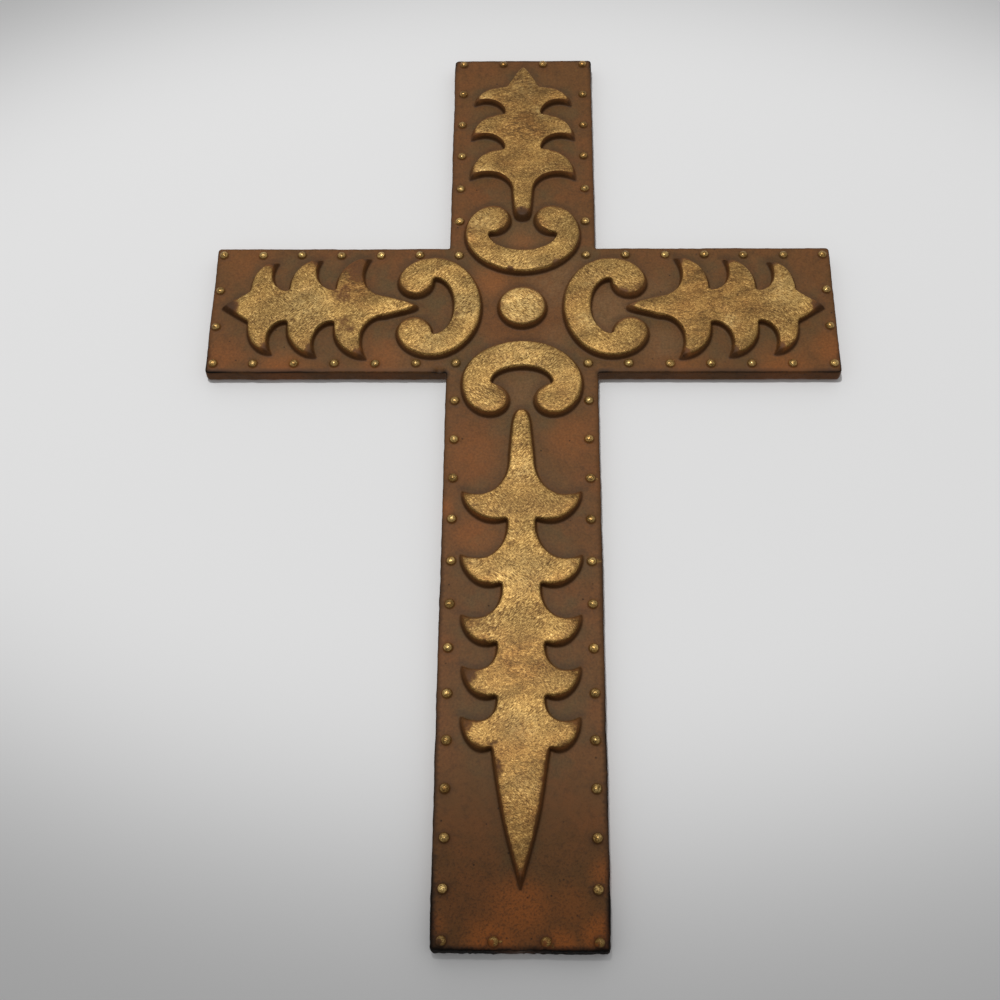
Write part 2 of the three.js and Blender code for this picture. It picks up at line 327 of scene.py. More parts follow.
def socket_outline():
    """The mouth of the socket, anticlockwise from the front."""
    radius = SOCKET_WIDTH / 2
    top = oval((0, SOCKET_BOTTOM + SOCKET_STRAIGHT), (radius, radius), 0, 180)
    return evenly(np.vstack([[(-radius, SOCKET_BOTTOM), (radius, SOCKET_BOTTOM)], top]), SOCKET_STEP)


# The casting's skin: rings of points follow every outline, so that the walls of the relief are crisp, and an
# even scatter fills the flats. The front, the rounded edges, the sides, the back and the socket close up as
# one mesh.
OUTSIDE_RINGS = (1.0, 0.45, 0.2)
INSIDE_RINGS = (0, 0.16, 0.33, 0.5, 0.68, 0.85, 1.0, 1.5)
RING_SHARE = 0.9
FLAT_STEP = 1.35
FLAT_MARGIN = 1.3
CLEAR_SHARE = 0.6
BACK_STEP = 6
BACK_MARGIN = 4
SIDE_STEPS = 6
FAR_OUTSIDE = -9.0
OPEN_ROOM = 50.0
TOUCHING = 1e-6
BATCH = 200
INSIDE_LINES = 1
SAME_POINT = 1e-5


def spare_room(points, directions, others):
    """Radius of the largest circle that touches each point on the given side and holds no other point."""
    room = np.full(len(points), OPEN_ROOM)
    for first in range(0, len(points), BATCH):
        part = slice(first, first + BATCH)
        away = others[None] - points[part, None]
        ahead = np.einsum("ijk,ik->ij", away, directions[part])
        square = np.einsum("ijk,ijk->ij", away, away)
        circle = np.where(ahead > TOUCHING, square / (2 * np.maximum(ahead, TOUCHING)), OPEN_ROOM)
        room[part] = circle.min(axis=1)
    return room


def finder(points):
    """A search tree for the nearest of some plan points."""
    tree = KDTree(len(points))
    for i, (x, z) in enumerate(points):
        tree.insert((x, z, 0), i)
    tree.balance()
    return tree


def inside_outline(points, outline):
    """Whether each point lies inside a closed outline."""
    found = np.zeros(len(points), bool)
    low, high = outline.min(axis=0), outline.max(axis=0)
    near = np.all((points > low) & (points < high), axis=1)
    x, z = points[near].T
    crossings = np.zeros(len(x), bool)
    for (x0, z0), (x1, z1) in zip(outline, np.roll(outline, -1, axis=0)):
        if z0 != z1:
            crossings ^= ((z0 > z) != (z1 > z)) & (x < (x1 - x0) * (z - z0) / (z1 - z0) + x0)
    found[near] = crossings
    return found


class Skin:
    """Points of one face of the casting: where each is in plan, its height, how far it lies inside a motif
    and how broad the wall is there. Its lines are kept by the triangles."""

    def __init__(self):
        self.plan, self.height, self.inside, self.breadth, self.lines = [], [], [], [], []

    def scatter(self, points, heights, inside=FAR_OUTSIDE, breadth=WALL_BREADTH):
        """Adds loose points."""
        self.plan += [tuple(p) for p in points]
        for column, values in ((self.height, heights), (self.inside, inside), (self.breadth, breadth)):
            column += list(np.broadcast_to(values, len(points)))

    def ring(self, points, *values):
        """Adds points along a closed line, and gives their numbers."""
        first, count = len(self.plan), len(points)
        self.scatter(points, *values)
        self.lines += [(first + i, first + (i + 1) % count) for i in range(count)]
        return range(first, first + count)


def triangles(skin):
    """Triangles over a skin that keep to its lines, their points, and where each of its points ended up."""
    plan = [Vector(point) for point in skin.plan]
    points, _, corners, sources, _, _ = delaunay_2d_cdt(plan, skin.lines, [], INSIDE_LINES, SAME_POINT)
    place = {old: new for new, olds in enumerate(sources) for old in olds}
    return np.array([tuple(point) for point in points]), corners, place, sources


edge_points, edge_outward = plate_outline()
turns = np.linspace(0, 2 * math.pi, STUD_SIDES, endpoint=False)
spokes = np.column_stack([np.cos(turns), np.sin(turns)])
stud_rims = (studs[:, None] + STUD_RADIUS * spokes[None]).reshape(-1, 2)
motif_points = np.vstack(motifs)
motif_tree = finder(motif_points)
breadths = [wall_breadths(outline) for outline in motifs]
motif_outward = []

front = Skin()
edge_rings = []
for inset in EDGE_INSETS:
    edge_rings.append(front.ring(edge_points - inset * edge_outward, PLATE - edge_drop(inset)))
for outline, breadth in zip(motifs, breadths):
    along = np.roll(outline, -1, axis=0) - np.roll(outline, 1, axis=0)
    along /= np.linalg.norm(along, axis=1, keepdims=True)
    inward = np.column_stack([-along[:, 1], along[:, 0]])
    motif_outward += list(-inward)
    room_in = RING_SHARE * spare_room(outline, inward, outline)
    room_out = RING_SHARE * spare_room(outline, -inward, np.vstack([motif_points, stud_rims]))
    outside = [np.full(len(outline), -reach) for reach in OUTSIDE_RINGS]
    for reach in outside + [share * breadth for share in INSIDE_RINGS]:
        inside = np.clip(reach, -room_out, room_in)
        ring_points = outline + inside[:, None] * inward
        front.ring(ring_points, PLATE + relief_height(inside, breadth), inside, breadth)
for (x, z), height in zip(studs, stud_heights):
    gap = motif_tree.find((x, z, 0))[2] - STUD_RADIUS
    for radius in STUD_RINGS:
        shown = min(radius, STUD_RADIUS + STUD_ROOM * gap)
        front.ring((x, z) + shown * spokes, PLATE + stud_profile(shown, height))
    front.scatter([(x, z)], PLATE + height)

columns = np.arange(-ARM_END, ARM_END, FLAT_STEP)
rows = np.arange(BOTTOM, TOP, FLAT_STEP * math.sqrt(3) / 2)
grid = np.array([(x + FLAT_STEP / 2 * (j % 2), z) for j, z in enumerate(rows) for x in columns])
grid = grid[inside_outline(grid, edge_points - FLAT_MARGIN * edge_outward)]
line_tree = finder(front.plan)
grid = grid[[line_tree.find((x, z, 0))[2] > CLEAR_SHARE * FLAT_STEP for x, z in grid]]
nearest = [motif_tree.find((x, z, 0)) for x, z in grid]
grid_gap = np.array([gap for _, _, gap in nearest])
grid_breadth = np.concatenate(breadths)[[number for _, number, _ in nearest]]
on_motif = np.any([inside_outline(grid, outline) for outline in motifs], axis=0)
grid_inside = np.where(on_motif, grid_gap, -grid_gap)
front.scatter(grid, PLATE + relief_height(grid_inside, grid_breadth), grid_inside, grid_breadth)

front_plan, front_faces, front_place, front_sources = triangles(front)
source = [olds[0] if olds else line_tree.find((*point, 0))[1]
          for point, olds in zip(front_plan, front_sources)]
front_height = np.array(front.height)[source]

vertices = [np.column_stack([front_plan, front_height])]
faces = [tuple(face) for face in front_faces]
total = len(front_plan)
loop = [front_place[i] for i in edge_rings[0]]
side_loops = [(0, height) for height in np.linspace(PLATE - EDGE_ROUND, EDGE_ROUND, SIDE_STEPS)[1:]]
side_loops += [(inset, float(edge_drop(inset))) for inset in EDGE_INSETS[1:]] + [(EDGE_ROUND, 0.0)]
for inset, height in side_loops:
    ring_points = edge_points - inset * edge_outward
    vertices.append(np.column_stack([ring_points, np.full(len(ring_points), height)]))
    following = list(range(total, total + len(ring_points)))
    total += len(ring_points)
    count = len(loop)
    for i in range(count):
        j = (i + 1) % count
        faces.append((loop[i], following[i], following[j], loop[j]))
    loop = following

back = Skin()
back_ring = back.ring(edge_points - EDGE_ROUND * edge_outward, 0)
socket = socket_outline()
socket_ring = back.ring(socket, 0)
columns = np.arange(-ARM_END, ARM_END, BACK_STEP)
rows = np.arange(BOTTOM, TOP, BACK_STEP)
grid = np.array([(x, z) for z in rows for x in columns])
grid = grid[inside_outline(grid, edge_points - BACK_MARGIN * edge_outward)]
socket_gap = np.min(np.linalg.norm(grid[:, None] - socket[None], axis=2), axis=1)
grid = grid[(socket_gap > BACK_STEP / 2) & ~inside_outline(grid, socket)]
back.scatter(grid, 0)
back_plan, back_faces, back_place, _ = triangles(back)
middles = np.array([back_plan[list(face)].mean(axis=0) for face in back_faces])
in_socket = inside_outline(middles, socket)
back_number = {back_place[old]: loop[i] for i, old in enumerate(back_ring)}
new_points = [i for i in range(len(back_plan)) if i not in back_number]
back_number.update({i: total + k for k, i in enumerate(new_points)})
vertices.append(np.column_stack([back_plan[new_points], np.zeros(len(new_points))]))
total += len(new_points)
whole_faces = [face for face, hole in zip(back_faces, in_socket) if not hole]
faces += [tuple(back_number[i] for i in reversed(face)) for face in whole_faces]
rim = [back_number[back_place[old]] for old in socket_ring]
floor_ring = list(range(total, total + len(rim)))
vertices.append(np.column_stack([socket, np.full(len(rim), SOCKET_DEPTH)]))
total += len(rim)
for i in range(len(rim)):
    j = (i + 1) % len(rim)
    faces.append((rim[i], floor_ring[i], floor_ring[j], rim[j]))
faces.append(tuple(reversed(floor_ring)))
vertices = np.vstack(vertices)

# Faults of the casting: sand moulding leaves outlines and flats a little uneven and edges rough. The tips of
# the leaves run down towards the plate, a gouge crosses the boss, the foot is chipped, and a sand hole opened
# at the left inner corner, under the crossbar.
UNEVEN_SEED = 3
UNEVEN_OUTLINE = 0.22
UNEVEN_FLAT = (0.11, 0.1, 0.04)
UNEVEN_LENGTHS = (16, 5, 2.2)
ROUGH_EDGE = 0.16
ROUGH_LENGTH = 3.2
CHIPPED_FOOT = 0.65
CHIP_LENGTH = 2.1
CHIPPED_REACH = 9
EDGE_REACH = 2
TIP_REACH = 6.5
TIP_FALL = 0.45
STROKE_CORE = 0.2
SHARP_ANGLE = 55
# Each dent is (x, z, radius, depth).
DENTS = [
    (-34.6, -30.6, 2.6, 1.5), (-6.5, 0.2, 2.6, 0.4), (-3.6, 1.5, 2.4, 0.5), (-0.6, 2.7, 2.2, 0.45),
    (-27, 6, 3, 0.35), (-22, 33, 3.2, 0.4), (24, 37, 3, 0.35), (0, -25, 3, 0.3), (-8, 96, 3.5, 0.3),
    (5, 82, 4, 0.35), (3, 112, 4, 0.3), (-3, -111, 4, 0.4), (-92, 6, 3.5, 0.3), (84, -4, 4, 0.35),
]


def drift(x, z, h, length):
    """Smooth random shift in three directions, about one unit at most, that changes over a length."""
    return noise.noise_vector(Vector((x, z, h)) / length)


def ramp(values, low, high):
    """A smooth climb from 0 at low to 1 at high."""
    share = np.clip((np.asarray(values) - low) / (high - low), 0, 1)
    return share * share * (3 - 2 * share)


def strokes(places):
    """How strongly soft round strokes, each (x, z, radius, strength), cover each point."""
    cover = np.zeros(len(vertices))
    for x, z, radius, strength in places:
        away = np.hypot(vertices[:, 0] - x, vertices[:, 1] - z) / radius
        cover = np.maximum(cover, strength * (1 - ramp(away, STROKE_CORE, 1)))
    return cover


tip_tree = finder(np.vstack(list(leaf_tips.values())))
tip_gap = np.array([tip_tree.find((x, z, 0))[2] for x, z, h in vertices])
on_front = vertices[:, 2] > PLATE - EDGE_ROUND
above_plate = np.maximum(vertices[:, 2] - PLATE, 0)
shaped = vertices.copy()
noise.seed_set(UNEVEN_SEED)
shaped[:, 2] -= on_front * (TIP_FALL * above_plate * (1 - ramp(tip_gap, 0, TIP_REACH)) + strokes(DENTS))
edge_tree = finder(edge_points)
edge_gap = np.zeros(len(vertices))
for i, (x, z, h) in enumerate(vertices):
    _, number, edge_gap[i] = edge_tree.find((x, z, 0))
    if h <= 0 or (i >= len(front_plan) and edge_gap[i] > EDGE_ROUND):
        continue
    shifts = [drift(x, z, h, length) for length in UNEVEN_LENGTHS]
    shaped[i, 0] += UNEVEN_OUTLINE * shifts[0].x
    shaped[i, 1] += UNEVEN_OUTLINE * shifts[0].y
    if edge_gap[i] < EDGE_REACH:
        chips = CHIPPED_FOOT * ramp(z, BOTTOM + CHIPPED_REACH, BOTTOM) * abs(drift(x, z, h, CHIP_LENGTH).x)
        bite = ROUGH_EDGE * drift(x, z, h, ROUGH_LENGTH).x - chips
        shaped[i, :2] += (1 - edge_gap[i] / EDGE_REACH) * bite * edge_outward[number]
    if on_front[i]:
        shaped[i, 2] += sum(depth * shift.z for depth, shift in zip(UNEVEN_FLAT, shifts))

mesh = bpy.data.meshes.new("cross_casting")
mesh.from_pydata([(x * MM, -h * MM, z * MM) for x, z, h in shaped], [], faces)
mesh.validate()
mesh.shade_smooth()
mesh.set_sharp_from_angle(angle=math.radians(SHARP_ANGLE))
casting = bpy.data.objects.new("cross_casting", mesh)
bpy.context.collection.objects.link(casting)
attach(casting, "root")
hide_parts("wall_cross")

# Paint: bronzed brown all over, then gilt by hand on the relief and the studs with a dry brush. The gold is
# thick in dabs, with painted highlights among them, misses the leaf tips, and is rubbed off, dulled or
# smeared in places; the low studs are left brown on their lower left as painted shade. Dust and dirt lie on
# the brown, with painted shade added at the feet of the relief walls, beyond their upper edges, round the
# studs and down the plate's sides, and rust and black crust have come through it. Each stroke is (x, z,
# radius, strength).
TIP_MISSED = {EAST: (8.5, 1), NORTH: (5.5, 0.95), WEST: (9, 1), SOUTH: (4.5, 0.8)}
TIP_DULL = (13, 0.8)
GOLD_WORN = [
    (-126, -1, 8, 1), (-66, 22, 6, 0.5), (46, -1, 5, 0.5), (64, 23, 10, 0.9), (127, -1, 7, 0.9),
    (0, 47, 8, 0.9), (-22, 92, 5, 0.6), (15, 21.5, 4, 0.7), (-5.3, 18.5, 2.6, 0.7), (43, 6.5, 4, 0.7),
    (-19, -101, 5, 0.5), (-4, -112, 4, 0.45), (-21, -166, 9, 0.72), (0, -245, 8, 1), (-27, 6, 3, 0.35),
    (-27.5, -4.5, 3, 0.4), (-9, 0, 3, 0.5), (-42, 9, 4, 0.4), (-77, 6, 10, 0.45), (-75, -10, 10, 0.45),
    (-71, 19, 13, 0.65), (-10, -203, 7, 0.6), (10, -206, 6, 0.55), (-11, -192, 5, 0.4), (-7, -220, 5, 0.4),
    (-103.5, 18.5, 5.5, 0.9), (-84.5, 20, 5.5, 0.9), (-63.5, 21, 6, 0.9), (-20.5, -186, 7, 0.55),
    (21, -186, 6.5, 0.5),
]
GOLD_DULL = [
    (0, 118, 40, 0.6), (0, 80, 34, 0.35), (-70, 14, 17, 1), (80, 4, 44, 0.6), (26, 0, 26, 0.3),
    (-22, 36, 14, 0.5), (0, -226, 26, 0.45), (17, -42, 10, 0.3), (-19, -94, 9, 0.4), (20, -95, 7, 0.5),
    (0, -198, 22, 0.5), (0, -90, 20, 0.15), (0, -162, 20, 0.65), (-11, -202, 8, 1),
    (10, -206, 7, 0.9), (-8, -220, 6, 0.8), (7, -222, 6, 0.7), (0, 97, 18, 0.9),
]
PALED = [
    (16, 14, 22, 0.9), (36, 0, 17, 1), (56, 6, 16, 0.5), (0, -40, 15, 0.6), (0, 37, 14, 0.4),
    (-50, -24, 16, 0.4), (-14, 14, 14, 0.5), (58, -18, 14, 0.6), (15, -14, 10, 0.5),
]
GOLD_SMEARED = [
    (30, -82, 2, 0.6), (30.4, -118, 2.2, 0.6), (-6.6, -263.4, 1.2, 0.8), (11.4, -264.8, 1.2, 0.8),
    (24.6, 133, 1.6, 0.4), (-30, 46, 2, 0.5),
]
# Strokes of thick gold, some of them painted highlights, such as those on the boss and at the right arm's
# lower notch.
GOLD_THICK_AND_HIGHLIT = [
    (-6, 1, 5, 0.9), (-2, 2.5, 5, 1), (0, 0, 14, 0.9), (88, -9, 5, 1), (112, 8, 15, 0.6), (100, 16, 6, 0.8),
    (-84, -14, 9, 0.8), (-92, 0, 15, 0.6), (20, -36, 11, 0.25), (-2, -25, 18, 0.45), (-38, -17, 10, 0.6),
    (-24, -1, 11, 0.7), (28, -8, 7, 0.8), (31, 12, 8, 0.4), (0, 22, 14, 0.3), (-18, 44, 9, 0.6),
    (0, -79, 9, 0.6), (-20, -117, 7, 0.6), (20, -118, 8, 0.4), (0, -186, 12, 0.4), (2, -208, 10, 0.3),
    (0, -125, 15, 0.4), (0, 119, 11, 0.35), (-19, 113, 8, 0.6), (9, 106, 6, 0.8), (-20, 92, 6, 0.6),
    (20, 94, 8, 0.5), (-17, 70, 7, 0.8),
]
RUSTED = [
    (0, -252, 17, 0.8), (-10, -264, 14, 1), (14, -265, 10, 1), (28, -261, 11, 1), (30, -240, 9, 0.6),
    (18, -251, 12, 0.4),
    (-100, -29, 14, 0.4), (-14, 14, 12, 0.4), (-18, -107, 14, 0.35), (-31, -95, 6, 0.5), (20, -63, 15, 0.3),
    (-20, -70, 18, 0.25), (-120, 26, 16, 0.2), (-60, -24, 14, 0.3), (0, 35, 9, 0.25), (-30, -258, 6, 0.5),
    (110, -29, 16, 0.35), (70, -29, 12, 0.25), (128, -20, 10, 0.35), (-126, -24, 10, 0.2),
]
PITTED = [
    (-18, -81, 11, 1), (21, -73, 10, 1), (0, -258, 40, 0.5), (80, -27, 14, 0.6), (58, -24, 10, 0.5),
    (-46, -15, 12, 0.8), (-3, -111, 8, 0.9), (0, -25, 16, 0.4), (-100, 0, 30, 0.3),
]
CRUSTED = [
    (-30, 140, 10, 0.9), (30, 140, 13, 1), (0, 140, 34, 0.5), (-20, -267, 40, 1), (20, -267, 40, 1),
    (-32, -250, 30, 1), (32, -250, 30, 1), (-32, -200, 50, 0.75), (32, -200, 50, 0.85),
    (-32, -130, 40, 0.5), (32, -130, 40, 0.5), (-133, -32, 18, 1), (-100, -32, 24, 0.75),
    (-34, -32, 6, 1), (133, -32, 18, 0.8), (90, -32, 30, 0.5), (34, -32, 5, 0.8),
]
CRUST_REACH = (0.3, 1.2)
CRUST_SPREAD = (0.4, 2)
CRUST_CORNER = (22, 31)
CRUST_UNDERNEATH = (-240, -262)
# Dirt and painted shade at the foot of the relief walls, with more painted shade on walls that face down.
WALL_DIRT_AND_SHADE = (0.5, 0.5)
WALL_DIRT_AND_SHADE_FOOT = (-0.8, 0)
WALL_DIRT_AND_SHADE_TOP = (0.15, 0.55)
WALL_SHADE_TILT = (-0.3, 0.5)
TIP_DIRT = (0.5, 0.9, 0.9)
# Dirt and painted shade on the plate in a band just beyond the upward-facing edges of the relief.
UPPER_DIRT_AND_SHADE = (-4, -1.5, 0.5)
GILT_SHARES = (0.22, 0.8)
UPPER_EDGE_MISSED = 0.6
HEAD_UNDERSIDE_MISSED = 0.4
HEAD_FROM = 60
EDGE_RUBBED = (0.7, 1.6)
EDGE_RUBBED_BEND = (1.4, 1.9)
EDGE_RUBBED_STRENGTH = 0.5
EDGE_DULL = (1, 3.4)
EDGE_DULL_STRENGTH = 0.7
LAST_LEAF = (-188, -197)
CENTRE_SWEPT = (16, 26)
STUD_GILT_RADII = (1.4, 2.1)
STUD_DULL_BEYOND = (70, -250)
STUD_DULL_THERE = 0.4
STUD_RING = (2.15, 0.1, 0.5)
# A dark ring of dirt and painted shade round the foot of each stud, stronger on the sandy foot of the cross.
STUD_RING_DIRT_AND_SHADE = (0.25, 0.5)
# Painted shade: the low studs are left brown on their lower left side.
STUD_LOWER_SHADE = (-0.7, -0.6, 2, 0.6)
DUST_REACH = 10
CROWDED = (14, 42)
SAND_SHOWS = (-190, -245)
RIM_REACH = (0.25, 0.95)

inside = np.full(len(vertices), FAR_OUTSIDE)
inside[:len(front_plan)] = np.array(front.inside)[source]
breadth = np.full(len(vertices), WALL_BREADTH)
breadth[:len(front_plan)] = np.array(front.breadth)[source]
wall_share = inside / breadth
stud_tree = finder(studs)
nearest_stud = [stud_tree.find((x, z, 0)) for x, z, h in vertices]
stud_gap = np.array([gap for _, _, gap in nearest_stud])
beyond = (studs[:, 1] > STUD_DULL_BEYOND[0]) | (studs[:, 1] < STUD_DULL_BEYOND[1])
stud_dulling += STUD_DULL_THERE * beyond
stud_gilt = 1 - ramp(stud_gap, *STUD_GILT_RADII)
stud_dull = stud_dulling[[number for _, number, _ in nearest_stud]] * (stud_gap < SKIRT_RADIUS)
ring_radius, ring_full, ring_reach = STUD_RING
stud_ring = 1 - ramp(np.abs(stud_gap - ring_radius), ring_full, ring_reach)
crowding = np.zeros(len(vertices))
for i in np.flatnonzero(on_front & (inside < 0) & (inside > -DUST_REACH)):
    crowding[i] = len(motif_tree.find_range((*vertices[i, :2], 0), DUST_REACH))
facing_up = np.zeros(len(vertices))
for i in np.flatnonzero(inside > UPPER_DIRT_AND_SHADE[0]):
    facing_up[i] = motif_outward[motif_tree.find((*vertices[i, :2], 0))[1]][1]
# Dirt and painted shade at the foot of the relief walls; walls that face down get more, as painted shade.
wall_dirt_and_shade = ramp(inside, *WALL_DIRT_AND_SHADE_FOOT) * (1 - ramp(wall_share, *WALL_DIRT_AND_SHADE_TOP))
wall_dirt_and_shade *= WALL_DIRT_AND_SHADE[0] + WALL_DIRT_AND_SHADE[1] * ramp(-facing_up, *WALL_SHADE_TILT)
on_head = vertices[:, 1] > HEAD_FROM
gilt_share = wall_share - UPPER_EDGE_MISSED * np.maximum(facing_up, 0)
gilt_share += HEAD_UNDERSIDE_MISSED * on_head * np.minimum(facing_up, 0)
missed = strokes([(x, z, *TIP_MISSED[angle]) for angle, tips in leaf_tips.items() for x, z in tips])
on_bend = np.maximum(ramp(breadth, *EDGE_RUBBED_BEND), ramp(vertices[:, 1], *LAST_LEAF))
rubbed = EDGE_RUBBED_STRENGTH * on_bend * (1 - ramp(wall_share, *EDGE_RUBBED))
edge_dull = EDGE_DULL_STRENGTH * on_bend * (1 - ramp(wall_share, *EDGE_DULL))
tip_dull = strokes([(x, z, *TIP_DULL) for tips in leaf_tips.values() for x, z in tips])
worn_and_stud_shade = np.maximum.reduce([strokes(GOLD_WORN), missed, rubbed]) * (inside > 0)
# Dirt and painted shade just beyond the upward-facing edges of the relief.
upper_dirt_and_shade = UPPER_DIRT_AND_SHADE[2] * np.maximum(facing_up, 0) * (inside < 0) * ramp(inside, *UPPER_DIRT_AND_SHADE[:2])
low_studs = studs[studs[:, 1] < STUD_DULL_BEYOND[1]]
# Painted shade on the low studs: their gold is taken off on the lower left.
shade_dx, shade_dz, *shade_spot = STUD_LOWER_SHADE
stud_lower_shade = strokes([(x + shade_dx, z + shade_dz, *shade_spot) for x, z in low_studs]) * stud_gilt
worn_and_stud_shade = np.maximum(worn_and_stud_shade, stud_lower_shade)
sandy = ramp(vertices[:, 1], *SAND_SHOWS)
# Dirt and painted shade in a ring round each stud's foot.
stud_ring_dirt_and_shade = (STUD_RING_DIRT_AND_SHADE[0] + STUD_RING_DIRT_AND_SHADE[1] * sandy) * stud_ring
tip_dirt = TIP_DIRT[2] * ramp(worn_and_stud_shade, *TIP_DIRT[:2])
on_edge = ~on_front & (edge_gap < EDGE_ROUND)
crust_spread = CRUST_SPREAD[0] + CRUST_SPREAD[1] * ramp(np.abs(vertices[:, 0]), *CRUST_CORNER)
crust_high = CRUST_REACH[1] + crust_spread * ramp(vertices[:, 1], *CRUST_UNDERNEATH)
under_foot = on_edge * ramp(vertices[:, 1], *CRUST_UNDERNEATH)
crust = strokes(CRUSTED) * np.where(on_front, 1 - ramp(edge_gap, CRUST_REACH[0], crust_high), under_foot)
masks = {
    "gilt": np.maximum.reduce([ramp(gilt_share, *GILT_SHARES), stud_gilt * on_front,
                               strokes(GOLD_SMEARED) * on_front]),
    "polish": stud_gilt * on_front,
    # Thick gold and painted highlights, on the studs too.
    "thick_and_highlit": np.maximum(strokes(GOLD_THICK_AND_HIGHLIT), stud_gilt * on_front * (1 - stud_dull)),
    # Wear on the gold, together with painted shade on the lower left of the low studs.
    "worn_and_stud_shade": worn_and_stud_shade,
    "dull": np.where(stud_gap < SKIRT_RADIUS, stud_dull,
                     np.maximum.reduce([strokes(GOLD_DULL), edge_dull, tip_dull])),
    "pale": strokes(PALED) * on_front,
    "rust": strokes(RUSTED) * (vertices[:, 2] > 0),
    "pitted": strokes(PITTED),
    "sandy": sandy * on_front,
    "dust": ramp(crowding, *CROWDED) * ramp(np.hypot(*vertices[:, :2].T), *CENTRE_SWEPT) * on_front,
    # Dirt together with painted shade at the relief walls' feet, beyond their upper edges and round the
    # studs.
    "dirt_and_shade": np.maximum.reduce([wall_dirt_and_shade, stud_ring_dirt_and_shade, upper_dirt_and_shade, tip_dirt]) * on_front,
    "rim": (1 - ramp(edge_gap, *RIM_REACH)) * on_front,
    "side": on_edge,
    "crust": crust,
}
for name, values in masks.items():
    mesh.attributes.new(name, "FLOAT", "POINT").data.foreach_set("value", np.asarray(values, np.float32))

# Bronzed and gilt cast iron: brown bronze paint on sand-cast grey iron, and gold paint of bronze powder.
# It gives a dull satin brown with red clouds and a sandy grain, and a silky gold of fine bright and dark
# marks, broad sweeps and painted glints, with thin creases drawn in as painted shade. Sand and gold flakes
# are about 0.2 mm, and are drawn coarser to show.
PATTERN_SIZES = {"cloud": 30, "mottle": 8, "speckle": 2.4, "grit": 0.9, "flake": 0.42}
PATTERN_DETAIL = 4
PATTERN_ROUGHNESS = 0.62
BRUSH_DETAIL = 3
NOISE_MIDDLE = 0.5
BRUSH_MARK = (1.3, 0.27, 0.5)
BRUSH_SWEEP = (18, 2.8, 8)
BRUSH_TURNS = (0.75, -0.7, 0.06)
SWEEP_TURN = 0.3
CREASE_SIZE = (20, 1, 6)
CREASE_WIDTH = 0.028
PIT_SPACING = 4
PIT_RADIUS = 0.5
PIT_FLOOR = 0.3
PIT_DARKNESS = 0.8
PIT_DEPTH = 0.6
PIT_RARITY = 0.84
PIT_FAVOUR = 0.45
GRAIN_DEPTH = 0.3
GRAIN_STRENGTH = 0.7
GRAIN_HEIGHT = 0.5
SANDY_HEIGHT = 1.4
PAINT_GLOSS = 0.2
PAINT_ROUGHNESS = 0.58
GOLD_ROUGHNESS = 0.44
STUD_SMOOTHER = 0.18
GOLD_METALLIC = 0.45
STUD_METALLIC = 0.3
BROWN = "#6b4620"
# Coats over the brown, each (mask, pattern, where the pattern starts and is full, strength, colour).
COATS = [
    (None, "cloud", 0.38, 0.65, 0.7, "#79471e"),
    (None, "mottle", 0.48, 0.8, 0.9, "#5f3f1b"),
    (None, "speckle", 0.5, 0.75, 0.6, "#513417"),
    ("dust", "mottle", 0.2, 0.75, 1.0, "#5f4928"),
    ("pale", "speckle", 0.2, 0.6, 0.8, "#7f5c38"),
    ("rust", "speckle", 0.1, 0.5, 1.0, "#9f5920"),
    ("sandy", "grit", 0.45, 0.65, 0.7, "#38230f"),
    # Painted shade: the plate's sides are darkened all round.
    ("side", "grit", 0.52, 0.7, 0.8, "#2a1b10"),
    ("rim", "grit", 0.25, 0.6, 0.85, "#2a1b10"),
    # Dirt and painted shade at the relief walls, their upper edges and the studs.
    ("dirt_and_shade", "grit", 0.0, 0.4, 0.85, "#3b240f"),
    ("crust", "speckle", 0.15, 0.4, 1.0, "#0c0703"),
]
# Shades of a pattern, each (where it starts and is full, darkest, lightest).
GRIT_SHADES = (0.3, 0.7, 0.4, 1.15)
SWEEP_SHADES = (0.38, 0.62, 0.74, 1.22)
# Where the patterns of the gold start and are full.
CROSSED = (0.42, 0.58)
FLECKS = (0.4, 0.62)
PATCHES = (0.42, 0.75)
DABS = (0.38, 0.6)
GLINTS = (0.54, 0.66)
THIN_PLACES = (0.35, 0.65)
GILT = (0.02, 0.28)
# How strongly they show.
GRIT_SHARE = 0.5
HATCH_SHARE = 0.6
PATCH_SHARE = 0.6
DULL_SHARE = 0.8
GLINT_SHARE = 0.7
DULL_GLINT_SHARE = 0.4
CREASE_SHARE = 0.9
WEAR = 1.15
THINNED = {"mottle": 0.22, "speckle": 0.3, "flake": 0.15}
GOLD_DARK = ("#654720", "#583a1c")
GOLD_BRIGHT = ("#c9a05a", "#a4753a")
# The colour of the painted highlights and painted glints.
GOLD_SHINING = "#efcd86"
# The colour of the painted shade in the gold's creases.
CREASE_SHADE_BROWN = "#4a3216"
PIT_BLACK = "#1d130b"
COLOUR_MIX = {"kind": "ShaderNodeMix", "output": 2, "data_type": "RGBA"}


def linear(hex_colour):
    """A linear colour with alpha from an sRGB hex value."""
    parts = [int(hex_colour[i:i + 2], 16) / 255 for i in (1, 3, 5)]
    return [c / 12.92 if c <= 0.04045 else ((c + 0.055) / 1.055) ** 2.4 for c in parts] + [1.0]


def add(tree, kind, inputs, output=0, **settings):
    """Adds a node with its settings, sets or links its inputs, and gives one of its outputs."""
    made = tree.nodes.new(kind)
    for name, value in settings.items():
        setattr(made, name, value)
    for socket, value in inputs.items():
        if isinstance(value, bpy.types.NodeSocket):
            tree.links.new(value, made.inputs[socket])
        else:
            made.inputs[socket].default_value = value
    return made.outputs[output] if made.outputs else made


